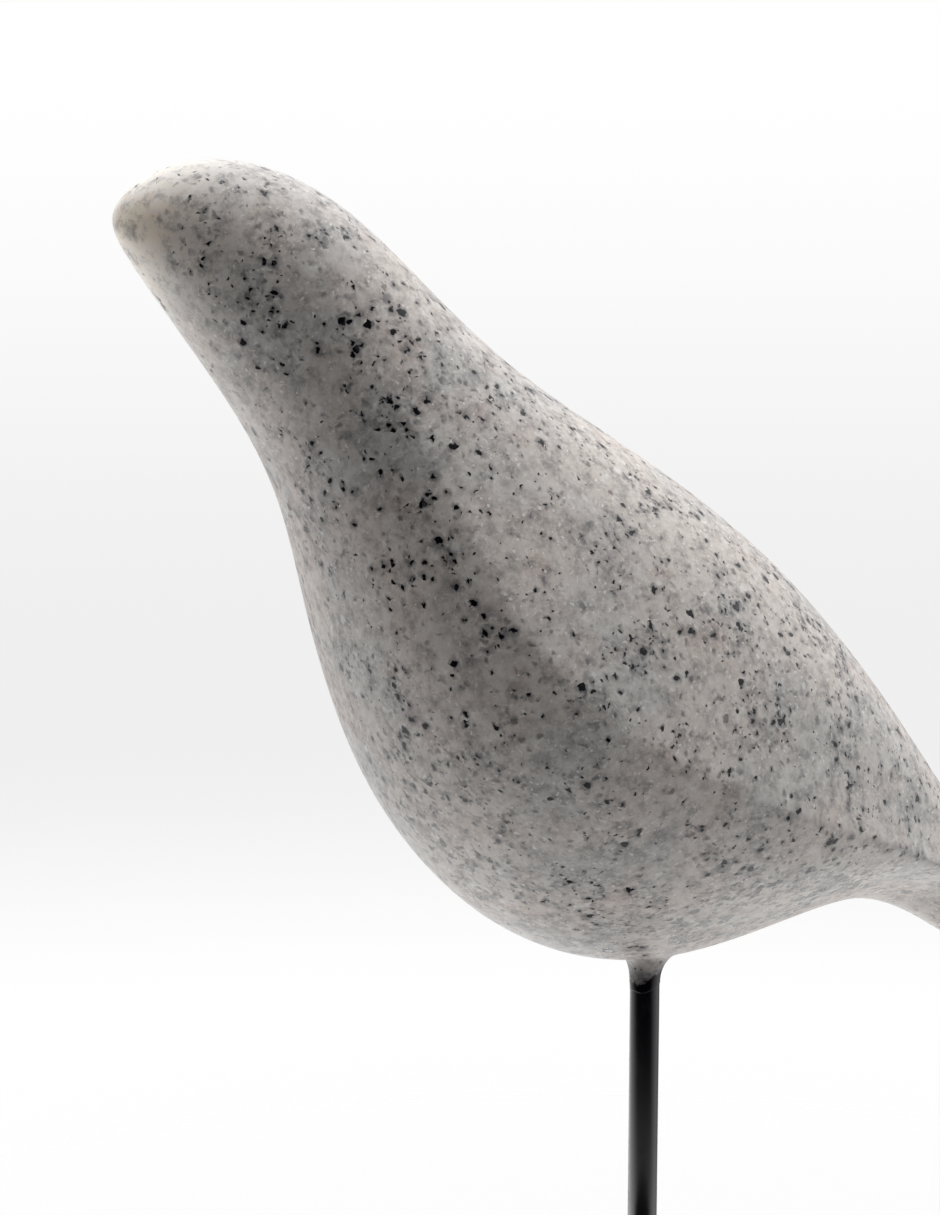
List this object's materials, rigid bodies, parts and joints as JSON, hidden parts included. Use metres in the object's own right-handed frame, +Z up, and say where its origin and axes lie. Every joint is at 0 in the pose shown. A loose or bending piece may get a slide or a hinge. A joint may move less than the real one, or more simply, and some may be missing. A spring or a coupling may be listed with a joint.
{
  "type": "bird figurine",
  "caption": "Smooth stylised bird of speckled grey cast stone with its head raised, on a slim black rod in a low round base.",
  "frame": {"origin": "centre of the base's underside, on the rod's axis", "axes": "+Z up along the rod; -X the way the beak points and +X towards the tail; +Y the bird's left side"},
  "size_m": [0.1432, 0.09, 0.2095],
  "materials": {
    "speckled_stone": "satin warm light grey cast stone with black flecks, soft grey blotches and pale granules",
    "black_rod": "black satin",
    "black_base": "black, fine matt powder coat"
  },
  "bodies": {
    "root": {"bird": "speckled_stone", "rod": "black_rod", "base": "black_base"}
  },
  "joints": []
}
